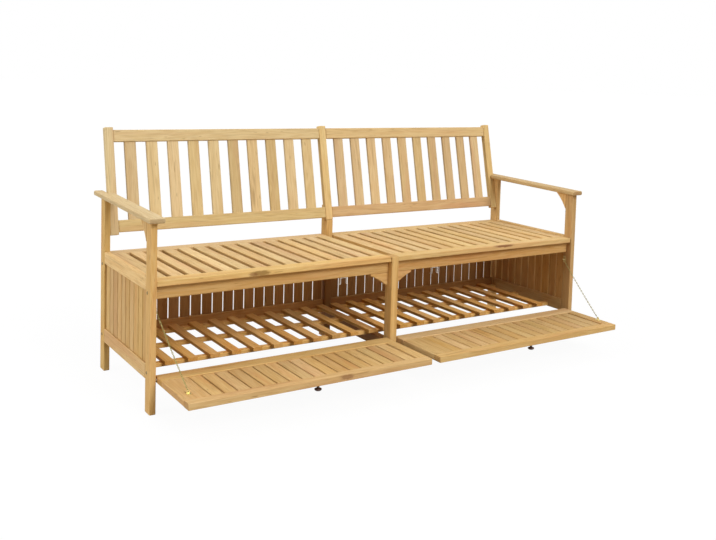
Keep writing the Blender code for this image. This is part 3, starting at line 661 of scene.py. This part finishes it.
def lie_of_wood(wiring, place, seed, grain, boards, rail):
    """How the wood lies in a piece, from the boards and the rail that timber describes.

    It is (place with Z along the grain, direction of the grain, board number, share of the
    rail), and the last is None for a piece without one.
    """
    run = wiring.turned(place, GRAIN[grain])
    heading = DIRECTION[grain]
    board = float(seed)
    if boards:
        direction, start, pitch = boards
        reach = wiring.along(place, DIRECTION[direction])
        number = wiring.maths("DIVIDE", wiring.maths("SUBTRACT", reach, start), pitch)
        board = wiring.maths("ADD", wiring.maths("FLOOR", number), board)
    if not rail:
        return run, heading, board, None
    rail_grain, direction, limit, side = rail
    test = "GREATER_THAN" if side > 0 else "LESS_THAN"
    on_rail = wiring.maths(test, wiring.along(place, DIRECTION[direction]), limit)
    run = wiring.either(on_rail, run, wiring.turned(place, GRAIN[rail_grain]))
    heading = wiring.either(on_rail, heading, DIRECTION[rail_grain])
    board = wiring.maths("MULTIPLY", board, wiring.maths("SUBTRACT", 1.0, on_rail))
    board = wiring.maths("MULTIPLY_ADD", on_rail, seed + RAIL_NUMBER, board)
    return run, heading, board, on_rail


def painted_shade_share(wiring, place, normal, direction):
    """Where painted shade falls in the box: 1 on faces that look along a direction.

    Where the direction is None, it is 1 on all faces under the seat but those that look back.
    """
    if direction:
        return wiring.ramp(wiring.along(normal, direction), *FACING_BAND)
    height = wiring.along(place, DIRECTION["z"])
    behind = wiring.ramp(wiring.along(normal, DIRECTION["y"]), *FACING_BAND)
    outside = wiring.maths("MAXIMUM", behind, wiring.ramp(height, *SEAT_SHADE))
    return wiring.maths("SUBTRACT", 1.0, outside)


def gap_share(wiring, place, normal):
    """1 on the sides of slats that face along X, as far out as their gaps reach."""
    across = wiring.maths("ABSOLUTE", wiring.along(normal, DIRECTION["x"]))
    out = wiring.maths("ABSOLUTE", wiring.along(place, DIRECTION["x"]))
    within = wiring.maths("LESS_THAN", out, GAP_REACH)
    return wiring.maths("MULTIPLY", wiring.ramp(across, *SIDE_BAND), within)


def timber(name, looks, seed, grain, boards=None, rail=None, inner=None, patches=(), gaps=None):
    """Oiled wood for one piece.

    seed is the board number it begins with. boards is (direction, start, pitch) where boards
    repeat. rail is (grain, direction, place, side) for a member that runs another way, above (1)
    or below (-1) a place. inner is (direction, tint) of painted shade on the faces that look into
    the box, where a direction of None stands for all faces under the seat but those that look
    back. patches are (centre, reach, strength, colour) of dark heartwood. gaps is a tint of
    painted shade for the sides that face each other in the gaps, along X.
    """
    material, wiring, shader, texture = new_material(f"acacia {name}")
    place = texture["Object"]
    normal = texture["Normal"]
    run, heading, board, on_rail = lie_of_wood(wiring, place, seed, grain, boards, rail)
    inputs = {
        "Place": run,
        "Board": board,
        "Figure width": looks.figure_width,
        "Pore width": looks.pore_width,
        "Variation": looks.variation,
        "Roughness": looks.gloss,
        "Pale": (*looks.pale, 1.0),
        "Warm": (*looks.warm, 1.0),
        "Streak": (*looks.streak, 1.0),
        "Blush": (*looks.blush, 1.0),
    }
    figure = wiring.group(timber_group(), inputs)
    colour = figure["Colour"]
    for centre, reach, strength, shade in patches:
        inputs = {"Place": place, "Centre": centre, "Reach": reach}
        share = wiring.maths("MULTIPLY", wiring.group(patch_group(), inputs)["Mask"], strength)
        colour = wiring.blend(share, colour, (*shade, 1.0))
    cut = wiring.group(end_grain_group(), {"Normal": normal, "Direction": heading})["Mask"]
    colour = wiring.tint(wiring.maths("MULTIPLY", cut, CUT_SHARE), colour, CUT_TINT)
    rail_share = on_rail
    # Painted shade: a darker, browner tint on the faces that look into the box
    if inner:
        direction, tint = inner
        inside = painted_shade_share(wiring, place, normal, direction)
        colour = wiring.tint(inside, colour, tint)
        if rail:
            rail_share = wiring.maths("MULTIPLY", on_rail, inside)
    # Painted shade on the slats' sides in their gaps
    if gaps:
        colour = wiring.tint(gap_share(wiring, place, normal), colour, gaps)
    # A rail's tone; on a wall it falls only where the painted shade does, and lightens it there
    if f"{name} rail" in TONES_AND_PAINTED_LIGHT:
        colour = wiring.blend(rail_share, colour, toned(wiring, f"{name} rail", colour))
    inputs = {
        "Base Color": toned(wiring, name, colour),
        "Specular IOR Level": WOOD_SPECULAR,
        "Roughness": figure["Roughness"],
        "Normal": wiring.bump(figure["Height"], *WOOD_BUMP),
    }
    wiring.feed(shader, inputs)
    return material


def plated(name, colour, roughness):
    """Plated metal, bright where it is clean and duller in clouds."""
    material, wiring, shader, texture = new_material(name)
    inputs = {"Place": texture["Object"], "Colour": (*colour, 1.0), "Roughness": roughness}
    plating = wiring.group(plating_group(), inputs)
    inputs = {
        "Base Color": plating["Colour"],
        "Metallic": 1.0,
        "Roughness": plating["Roughness"],
        "Normal": wiring.bump(plating["Height"], *PLATING_BUMP),
    }
    wiring.feed(shader, inputs)
    return material


def stained(name, colour):
    """Dark stained, turned wood: rings round the turning axis and a worn, paler sheen."""
    material, wiring, shader, texture = new_material(name)
    lines = wiring.noise(wiring.stretched(texture["Object"], STAIN_STRETCH), *STAIN_NOISE)
    pale = [channel * wear for channel, wear in zip(colour, STAIN_WEAR)]
    shade = wiring.blend(wiring.ramp(lines, *STAIN_BAND), (*colour, 1.0), (*pale, 1.0))
    least, spread = STAIN_ROUGHNESS
    inputs = {
        "Base Color": shade,
        "Roughness": wiring.maths("MULTIPLY_ADD", lines, spread, least),
        "Normal": wiring.bump(lines, *STAIN_BUMP),
    }
    wiring.feed(shader, inputs)
    return material


def give(node, material):
    """Put a material in every slot of a CAD node."""
    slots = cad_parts[node].material_slots
    if not slots:
        raise RuntimeError(f"{node} has no material slot")
    for slot in slots:
        slot.material = material


def finish_wood(looks, node, name, kind, index, grain, **more):
    """Give a node oiled wood of its own, numbered after its kind and its place in the kind."""
    first, step = NUMBERS[kind]
    give(node, timber(name, looks, first + step * index, grain, **more))


def finish_pair(looks, node, kind, grain, **more):
    """Give the left and the right node of a kind their wood.

    A dictionary among the further arguments of timber holds a value for each side.
    """
    for index, side in enumerate(SIDES):
        own = {
            key: value[side] if isinstance(value, dict) else value for key, value in more.items()
        }
        finish_wood(looks, f"{node}_{side}", f"{kind} {side}", kind, index, grain, **own)


def grid_mesh(name, points, closed, material):
    """A mesh from copies x rings x sides points, each copy a tube.

    Each quad joins two neighbouring points of a ring with the same two of the next ring.
    A closed tube joins its last ring to its first, and an open one gets a cap on each end.
    Faces are turned over where the first copy's signed volume is negative.
    """
    copies, rings, sides = points.shape[:3]
    numbers = np.arange(rings * sides).reshape(rings, sides)
    if closed:
        numbers = np.vstack([numbers, numbers[:1]])
    beside = np.roll(numbers, -1, axis=1)
    quads = np.stack([numbers[:-1], beside[:-1], beside[1:], numbers[1:]], axis=-1)
    quads = quads.reshape(-1, 4)
    first = points[0].reshape(-1, 3)
    middle = first - first.mean(axis=0)
    a, b, c, d = (middle[quads[:, corner]] for corner in range(4))
    volume = np.einsum("ij,ij->i", a, np.cross(b, c)) + np.einsum("ij,ij->i", a, np.cross(c, d))
    caps = [] if closed else [numbers[0][::-1], numbers[-1]]
    if volume.sum() < 0:
        quads = quads[:, ::-1]
        caps = [cap[::-1] for cap in caps]
    shift = rings * sides * np.arange(copies)
    faces = (quads[None] + shift[:, None, None]).reshape(-1, 4).tolist()
    for cap in caps:
        faces += (cap[None] + shift[:, None]).tolist()
    mesh = bpy.data.meshes.new(name)
    mesh.from_pydata(points.reshape(-1, 3).tolist(), [], faces)
    mesh.materials.append(material)
    mesh.update()
    mesh.shade_smooth()
    mesh.set_sharp_from_angle(angle=CREASE)
    item = bpy.data.objects.new(name, mesh)
    bpy.context.scene.collection.objects.link(item)
    return item


def turned_rings(profile, sides, corners=None):
    """Rings x sides points of a profile turned round Z.

    The profile's rows are radius and height. Where corners is 1, a ring is a hexagon: its
    radius is divided by the cosine of the angle from the middle of the nearest flat.
    """
    angles = np.linspace(0.0, 2 * np.pi, sides, endpoint=False)
    radius = np.asarray(profile, float)[:, 0:1]
    height = np.asarray(profile, float)[:, 1:2]
    if corners is not None:
        sixth = np.pi / 3
        flat = 1.0 / np.cos((angles % sixth) - sixth / 2)
        share = np.asarray(corners, float)[:, None]
        radius = radius * (1 + share * (flat[None] - 1))
    radius = np.broadcast_to(radius, (len(height), sides))
    height = np.broadcast_to(height, (len(height), sides))
    return np.stack([radius * np.cos(angles), radius * np.sin(angles), height], axis=-1)


def placed(rings, places, outward):
    """Copies of rings, each moved to a place with its Z turned outward along a unit vector."""
    outward = np.asarray(outward, float)
    steep = np.abs(outward[:, 2:3]) > NEARLY_UPRIGHT
    helper = np.where(steep, [[1.0, 0.0, 0.0]], [[0.0, 0.0, 1.0]])
    first = np.cross(helper, outward)
    first /= np.linalg.norm(first, axis=1, keepdims=True)
    second = np.cross(outward, first)
    axes = np.stack([first, second, outward], axis=1)
    return np.einsum("rsk,nkj->nrsj", rings, axes) + np.asarray(places, float)[:, None, None]


def smooth_profile(points, steps):
    """A curve through profile points: Catmull-Rom pieces, each of so many steps."""
    points = np.asarray(points, float)
    padded = np.vstack([2 * points[0] - points[1], points, 2 * points[-1] - points[-2]])
    share = np.linspace(0.0, 1.0, steps, endpoint=False)[None, :, None]
    p0, p1, p2, p3 = (padded[k : len(points) - 1 + k][:, None] for k in range(4))
    curve = (
        2 * p1
        + (p2 - p0) * share
        + (2 * p0 - 5 * p1 + 4 * p2 - p3) * share**2
        + (3 * p1 - p0 - 3 * p2 + p3) * share**3
    ) / 2
    return np.vstack([curve.reshape(-1, 2), points[-1:]])


def link_chain(name, start, end, looks, material):
    """A chain of oval links between two points, its line hanging in a shallow parabola.

    A link's centreline is an ellipse along the chain, its wire a circle swept round that
    ellipse, and each link is turned a quarter against the one before.
    """
    start = np.asarray(start, float)
    end = np.asarray(end, float)
    span = np.linalg.norm(end - start)
    count = int(round(span / looks.chain_pitch))
    share = (np.arange(count) + 0.5) / count
    middle = start + (end - start) * share[:, None]
    middle[:, 2] -= 4 * CHAIN_SAG * share * (1 - share)
    run = np.tile((end - start) / span, (count, 1))
    run[:, 2] -= 4 * CHAIN_SAG * (1 - 2 * share) / span
    run /= np.linalg.norm(run, axis=1, keepdims=True)
    side = np.cross(run, [0.0, 0.0, 1.0])
    side /= np.linalg.norm(side, axis=1, keepdims=True)
    top = np.cross(side, run)
    turn = (np.arange(count) * np.pi / 2 + np.pi / 4)[:, None]
    across = side * np.cos(turn) + top * np.sin(turn)
    over = np.cross(run, across)
    wire = looks.chain_wire / 2
    half_length = span / count / 2 + LINK_OVERLAP * wire
    half_width = LINK_WIDTH * wire
    around = np.linspace(0.0, 2 * np.pi, LINK_RINGS, endpoint=False)
    section = np.linspace(0.0, 2 * np.pi, LINK_SIDES, endpoint=False)
    oval = np.stack([half_length * np.cos(around), half_width * np.sin(around)], axis=-1)
    outer = np.stack([np.cos(around) * half_width, np.sin(around) * half_length], axis=-1)
    outer /= np.linalg.norm(outer, axis=1, keepdims=True)
    flat = oval[:, None] + wire * np.cos(section)[None, :, None] * outer[:, None]
    lift = np.broadcast_to(wire * np.sin(section), flat.shape[:2])
    points = (
        middle[:, None, None]
        + flat[None, ..., 0:1] * run[:, None, None]
        + flat[None, ..., 1:2] * across[:, None, None]
        + lift[None, ..., None] * over[:, None, None]
    )
    return grid_mesh(name, points, True, material)


class BenchOperator(bpy.types.Operator):
    """Shared settings of the bench's operators."""

    bl_options = {"REGISTER", "UNDO"}


class BENCH_OT_posts(BenchOperator):
    """Finish the posts and the rails between them"""

    bl_idname = "garden_bench.posts"
    bl_label = "Posts and rails"

    def execute(self, context):
        looks = context.scene.bench_wood
        for index, node in enumerate(POSTS):
            inner = MIDDLE_INNER_SHADE if node == "post_rear_centre" else None
            finish_wood(looks, node, node, "post", index, "z", inner=inner)
        for index, (node, grain) in enumerate(UPPER_RAILS.items()):
            inner = None if node.startswith("end") else MIDDLE_INNER_SHADE
            finish_wood(looks, node, node, "upper rail", index, grain, inner=inner)
        return {"FINISHED"}


class BENCH_OT_arms(BenchOperator):
    """Finish the armrests and the brackets under them"""

    bl_idname = "garden_bench.arms"
    bl_label = "Armrests"

    def execute(self, context):
        looks = context.scene.bench_wood
        finish_pair(looks, "armrest", "armrest", "y")
        finish_pair(looks, "arm_bracket", "arm bracket", "z")
        return {"FINISHED"}


class BENCH_OT_seat(BenchOperator):
    """Finish the two seat panels and the aprons under them"""

    bl_idname = "garden_bench.seat"
    bl_label = "Seat"

    def execute(self, context):
        looks = context.scene.bench_wood
        slats = {"boards": SEAT_SLATS, "rail": SEAT_RAIL, "inner": SEAT_INNER_SHADE, "gaps": SEAT_GAPS}
        finish_pair(looks, "seat_slats", "seat", "y", **slats)
        finish_pair(looks, "seat_front_rail", "seat front", "x", patches=FRONT_PATCHES)
        finish_pair(looks, "apron", "apron", "x")
        finish_pair(looks, "apron_bracket", "apron bracket", "x")
        return {"FINISHED"}


class BENCH_OT_walls(BenchOperator):
    """Finish the boarded ends and back of the box"""

    bl_idname = "garden_bench.walls"
    bl_label = "Walls of the box"

    def execute(self, context):
        looks = context.scene.bench_wood
        boards = {"boards": END_BOARDS, "rail": END_RAIL, "inner": END_INNER_SHADE}
        finish_pair(looks, "end_boards", "end", "z", **boards)
        boards = {"boards": REAR_BOARDS, "rail": REAR_RAIL, "inner": REAR_INNER_SHADE}
        finish_pair(looks, "rear_boards", "rear", "z", **boards)
        return {"FINISHED"}


class BENCH_OT_floor(BenchOperator):
    """Finish the slatted floor of the box"""

    bl_idname = "garden_bench.box_floor"
    bl_label = "Floor of the box"

    def execute(self, context):
        looks = context.scene.bench_wood
        slats = {"boards": FLOOR_SLATS, "rail": FLOOR_BARS, "gaps": FLOOR_GAPS}
        finish_pair(looks, "floor", "floor", "y", **slats)
        return {"FINISHED"}


class BENCH_OT_back(BenchOperator):
    """Finish the raked back"""

    bl_idname = "garden_bench.back"
    bl_label = "Back"

    def execute(self, context):
        looks = context.scene.bench_wood
        for index, place in enumerate(("left", "right", "centre")):
            node = f"back_stile_{place}"
            finish_wood(looks, node, f"back stile {place}", "back stile", index, "raked")
        finish_pair(looks, "back_top_rail", "back top rail", "x")
        slats = {"boards": BACK_SLATS, "rail": BACK_RAIL}
        finish_pair(looks, "back_slats", "back slats", "raked", **slats)
        return {"FINISHED"}


class BENCH_OT_doors(BenchOperator):
    """Finish the two drop-down doors"""

    bl_idname = "garden_bench.doors"
    bl_label = "Doors"

    def execute(self, context):
        looks = context.scene.bench_wood
        finish_pair(looks, "door_boards", "door", "y", boards=DOOR_BOARDS, rail=DOOR_RAIL)
        finish_pair(looks, "door_free_rail", "door free rail", "x", patches=FREE_RAIL_PATCHES)
        finish_pair(looks, "door_inner_stile", "door inner stile", "y")
        finish_pair(looks, "door_outer_stile", "door outer stile", "y")
        return {"FINISHED"}


class BENCH_OT_fittings(BenchOperator):
    """Finish the pins, plates and catches"""

    bl_idname = "garden_bench.fittings"
    bl_label = "Pins, plates and catches"

    def execute(self, context):
        looks = context.scene.bench_fittings
        brass = plated("brass plating", looks.brass, BRASS_ROUGHNESS)
        zinc = plated("zinc plating", looks.zinc, ZINC_ROUGHNESS)
        for side in SIDES:
            give(f"stay_post_plate_{side}", brass)
            give(f"stay_door_plate_{side}", brass)
            give(f"pivot_pin_{side}", zinc)
            give(f"door_catch_{side}", zinc)
        give("pivot_pin_centre", zinc)
        return {"FINISHED"}


class BENCH_OT_chains(BenchOperator):
    """Hang a link chain between each post's eye and its door's eye"""

    bl_idname = "garden_bench.chains"
    bl_label = "Chains"

    def execute(self, context):
        looks = context.scene.bench_fittings
        brass = plated("tarnished chain", looks.chain, CHAIN_ROUGHNESS)
        for side in SIDES:
            start = EYE_AT_POST[side]
            end = EYE_AT_DOOR[side]
            chain = link_chain(f"chain_{side}", start, end, looks, brass)
            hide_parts(f"stay_{side}")
            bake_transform(chain)
        return {"FINISHED"}


class BENCH_OT_knobs(BenchOperator):
    """Turn a dark knob for the outer face of each door"""

    bl_idname = "garden_bench.knobs"
    bl_label = "Knobs"

    def execute(self, context):
        looks = context.scene.bench_fittings
        stain = stained("stained knob wood", looks.knob)
        profile = smooth_profile(KNOB_PROFILE, KNOB_STEPS)
        profile[:, 0] = np.maximum(profile[:, 0], KNOB_TIP)
        rings = turned_rings(profile, looks.knob_sides)
        for side in SIDES:
            low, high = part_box(f"knob_{side}")
            place = ((low.x + high.x) / 2, (low.y + high.y) / 2, high.z)
            points = placed(rings, [place], [(0.0, 0.0, -1.0)])
            knob = grid_mesh(f"turned_knob_{side}", points, False, stain)
            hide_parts(f"knob_{side}")
            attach(knob, f"{side}_door")
        return {"FINISHED"}


class BENCH_OT_bolts(BenchOperator):
    """Set the bolt heads on the outer faces of the end posts"""

    bl_idname = "garden_bench.bolts"
    bl_label = "Bolts"

    def execute(self, context):
        looks = context.scene.bench_fittings
        zinc = plated("dulled zinc bolts", looks.bolt, BOLT_ROUGHNESS)
        profile = np.array(BOLT_PROFILE) * looks.bolt_radius
        rings = turned_rings(profile, BOLT_SIDES, BOLT_CORNERS)
        places = [(sign * X_OUT, y, z) for sign in SIDES.values() for y in BOLT_Y for z in BOLT_Z]
        outward = [(math.copysign(1.0, x), 0.0, 0.0) for x, y, z in places]
        bolts = grid_mesh("post_bolts", placed(rings, places, outward), False, zinc)
        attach(bolts, "bench")
        return {"FINISHED"}


class BENCH_OT_stage(BenchOperator):
    """Lay the floor, set the light and aim the camera"""

    bl_idname = "garden_bench.stage"
    bl_label = "Stage"

    def execute(self, context):
        looks = context.scene.bench_stage
        lay_floor(looks)
        light_evenly(context.scene, looks)
        hang_lamp("main lamp", MAIN_LAMP_AIM, looks.key, looks.key_spread)
        hang_lamp("side lamp", SIDE_LAMP_AIM, looks.fill, looks.key_spread)
        aim_camera(context.scene)
        return {"FINISHED"}


def backdrop_share(wiring):
    """1 for rays that see the backdrop itself: from the camera, a reflection or through glass."""
    path = wiring.add("ShaderNodeLightPath", {})
    seen = wiring.maths("MAXIMUM", path["Is Camera Ray"], path["Is Glossy Ray"])
    return wiring.maths("MAXIMUM", seen, path["Is Transmission Ray"])


def lay_floor(looks):
    """A flat floor, seen nearly as white as the backdrop, that keeps a pale soft shadow."""
    material, wiring, shader, texture = new_material("studio floor")
    mottle = wiring.layer(texture["Object"], *MOTTLE)
    dull = [channel * MOTTLE_SHADE for channel in looks.floor_bounce]
    thrown = wiring.blend(mottle, (*looks.floor_bounce, 1.0), (*dull, 1.0))
    seen = backdrop_share(wiring)
    inputs = {
        "Base Color": wiring.blend(seen, thrown, (*looks.floor, 1.0)),
        "Roughness": FLOOR_ROUGHNESS,
        "Specular IOR Level": 0.0,
    }
    wiring.feed(shader, inputs)
    white = wiring.add("ShaderNodeEmission", {"Color": WHITE, "Strength": 1.0})
    share = wiring.maths("MULTIPLY", seen, looks.paleness)
    inputs = {0: share, 1: shader.outputs[0], 2: white[0]}
    surface = wiring.add("ShaderNodeMixShader", inputs)[0]
    wiring.feed(material.node_tree.nodes["Material Output"], {"Surface": surface})
    reach = looks.floor_reach
    corners = [(x * reach, y * reach, 0.0) for x, y in ((-1, -1), (1, -1), (1, 1), (-1, 1))]
    mesh = bpy.data.meshes.new("studio_floor")
    mesh.from_pydata(corners, [], [(0, 1, 2, 3)])
    mesh.materials.append(material)
    floor = bpy.data.objects.new("studio_floor", mesh)
    bpy.context.scene.collection.objects.link(floor)


def light_evenly(scene, looks):
    """A world that is plain white to the camera and lights more from above than from the sides.

    Its strength rises from the horizon's to the zenith's with the height of the direction.
    """
    world = bpy.data.worlds.new("even studio light")
    world.use_nodes = True
    scene.world = world
    wiring = Wiring(world.node_tree)
    direction = wiring.add("ShaderNodeTexCoord", {})["Generated"]
    height = wiring.ramp(wiring.along(direction, DIRECTION["z"]), *SKY_BAND)
    light = wiring.maths("MULTIPLY_ADD", height, looks.zenith - looks.horizon, looks.horizon)
    share = backdrop_share(wiring)
    rest = wiring.maths("MULTIPLY", wiring.maths("SUBTRACT", 1.0, share), light)
    strength = wiring.maths("ADD", share, rest)
    wiring.feed(world.node_tree.nodes["Background"], {"Color": WHITE, "Strength": strength})


def hang_lamp(name, aim, strength, spread):
    """A wide lamp so far away that its light is even over the whole bench."""
    data = bpy.data.lights.new(name, "SUN")
    data.energy = strength * math.pi
    data.angle = spread
    lamp = bpy.data.objects.new(name, data)
    lamp.rotation_euler = Vector(aim).to_track_quat("-Z", "Y").to_euler()
    bpy.context.scene.collection.objects.link(lamp)


def aim_camera(scene):
    """The photograph's view: yaw from +Y towards +X, pitch downward and a slight roll."""
    forward = Vector(
        (
            math.sin(CAMERA_YAW) * math.cos(CAMERA_PITCH),
            math.cos(CAMERA_YAW) * math.cos(CAMERA_PITCH),
            -math.sin(CAMERA_PITCH),
        )
    )
    level = Vector((math.cos(CAMERA_YAW), -math.sin(CAMERA_YAW), 0.0))
    down = forward.cross(level)
    right = level * math.cos(CAMERA_ROLL) + down * math.sin(CAMERA_ROLL)
    down = down * math.cos(CAMERA_ROLL) - level * math.sin(CAMERA_ROLL)
    data = bpy.data.cameras.new("photograph view")
    data.lens = CAMERA_LENS
    data.shift_x, data.shift_y = CAMERA_SHIFT
    camera = bpy.data.objects.new("photograph view", data)
    turn = Matrix((right, -down, -forward)).transposed()
    camera.matrix_world = Matrix.Translation(CAMERA_PLACE) @ turn.to_4x4()
    scene.collection.objects.link(camera)
    scene.camera = camera
    scene.view_settings.view_transform = "Standard"


class BENCH_PT_sidebar(bpy.types.Panel):
    """The bench's settings and steps in the sidebar"""

    bl_idname = "BENCH_PT_sidebar"
    bl_label = "Garden storage bench"
    bl_space_type = "VIEW_3D"
    bl_region_type = "UI"
    bl_category = "Garden bench"

    def draw(self, context):
        for key, group in SETTINGS.items():
            box = self.layout.box()
            box.label(text=key.removeprefix("bench_").capitalize())
            for setting in group.__annotations__:
                box.prop(getattr(context.scene, key), setting)
        column = self.layout.column(align=True)
        for operator in STEPS:
            column.operator(operator.bl_idname)


STEPS = (
    BENCH_OT_stage,
    BENCH_OT_posts,
    BENCH_OT_arms,
    BENCH_OT_seat,
    BENCH_OT_walls,
    BENCH_OT_floor,
    BENCH_OT_back,
    BENCH_OT_doors,
    BENCH_OT_fittings,
    BENCH_OT_chains,
    BENCH_OT_knobs,
    BENCH_OT_bolts,
)
SETTINGS = {
    "bench_wood": BenchWood,
    "bench_fittings": BenchFittings,
    "bench_stage": BenchStage,
}


def register():
    """Register the settings, the steps and the panel."""
    for key, group in SETTINGS.items():
        bpy.utils.register_class(group)
        setattr(bpy.types.Scene, key, PointerProperty(type=group))
    for operator in STEPS:
        bpy.utils.register_class(operator)
    bpy.utils.register_class(BENCH_PT_sidebar)


def unregister():
    """Take the panel, the steps and the settings away again."""
    bpy.utils.unregister_class(BENCH_PT_sidebar)
    for operator in reversed(STEPS):
        bpy.utils.unregister_class(operator)
    for key, group in reversed(SETTINGS.items()):
        delattr(bpy.types.Scene, key)
        bpy.utils.unregister_class(group)


def main():
    """Take every step in order."""
    register()
    bpy.ops.garden_bench.stage()
    bpy.ops.garden_bench.posts()
    bpy.ops.garden_bench.arms()
    bpy.ops.garden_bench.seat()
    bpy.ops.garden_bench.walls()
    bpy.ops.garden_bench.box_floor()
    bpy.ops.garden_bench.back()
    bpy.ops.garden_bench.doors()
    bpy.ops.garden_bench.fittings()
    bpy.ops.garden_bench.chains()
    bpy.ops.garden_bench.knobs()
    bpy.ops.garden_bench.bolts()


if __name__ == "__main__":
    main()
